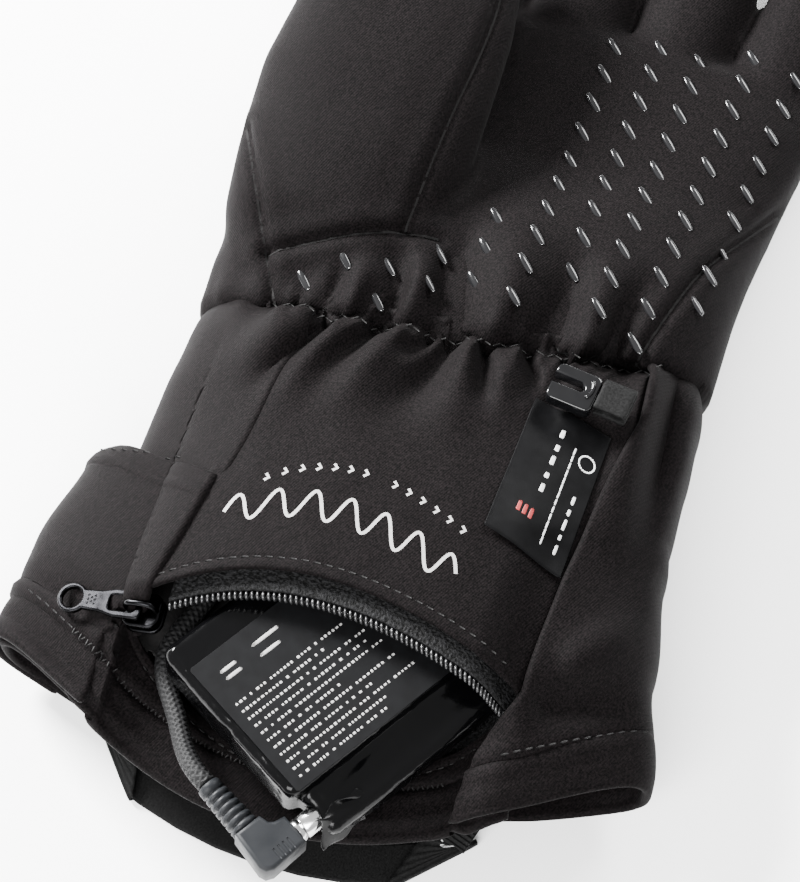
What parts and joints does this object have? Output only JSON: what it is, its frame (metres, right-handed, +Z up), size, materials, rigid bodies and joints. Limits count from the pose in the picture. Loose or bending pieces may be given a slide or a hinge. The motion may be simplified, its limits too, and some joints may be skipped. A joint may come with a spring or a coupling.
{
  "type": "heated glove",
  "caption": "Padded left-hand gauntlet glove lying palm up, its zipped cuff pocket open on a battery pack with lead and plug, with hang loop, tag and hook.",
  "frame": {"origin": "on the surface that the glove lies on, under the middle of the back of the wrist", "axes": "+X towards the little finger's side, +Y towards the fingertips, +Z up out of the palm"},
  "size_m": [0.1556, 0.332, 0.0554],
  "materials": {
    "softshell": "matte woven softshell",
    "lining": "fine dark lining",
    "zip_tape": "woven tape with nylon coil",
    "zip_metal": "polished gunmetal",
    "film": "glossy shrink film",
    "label": "satin film",
    "rubber": "matte moulded rubber",
    "braid": "braided sleeve",
    "barrel": "polished",
    "ribbon": "ribbed grosgrain and satin",
    "hook_plastic": "polished moulding"
  },
  "bodies": {
    "glove": {"cuff": "softshell", "cuff_side_band": "softshell", "hand_shell": "softshell", "index_finger": "softshell", "middle_finger": "softshell", "ring_finger": "softshell", "little_finger": "softshell", "thumb": "softshell", "pocket_lining": "lining", "zip_tape_upper": "zip_tape", "zip_tape_lower": "zip_tape", "zip_coil_upper": "zip_tape", "zip_coil_lower": "zip_tape", "zip_slider": "zip_metal", "battery_pack": "film", "battery_label": "label", "plug_barrel": "barrel", "plug_body": "rubber", "strain_relief": "rubber", "lead": "braid", "lead_grommet": "rubber", "hang_loop": "ribbon", "woven_tag": "ribbon", "clip_webbing": "ribbon", "clip_hook": "hook_plastic"},
    "puller": {"zip_puller": "zip_metal"}
  },
  "joints": [
    {"name": "puller_hinge", "type": "hinge", "parent": "glove", "child": "puller", "pos_m": [-0.04584, -0.08809, 0.04071], "axis": [-0.0599, 0.9982, 0], "range_deg": [0, 160]}
  ]
}
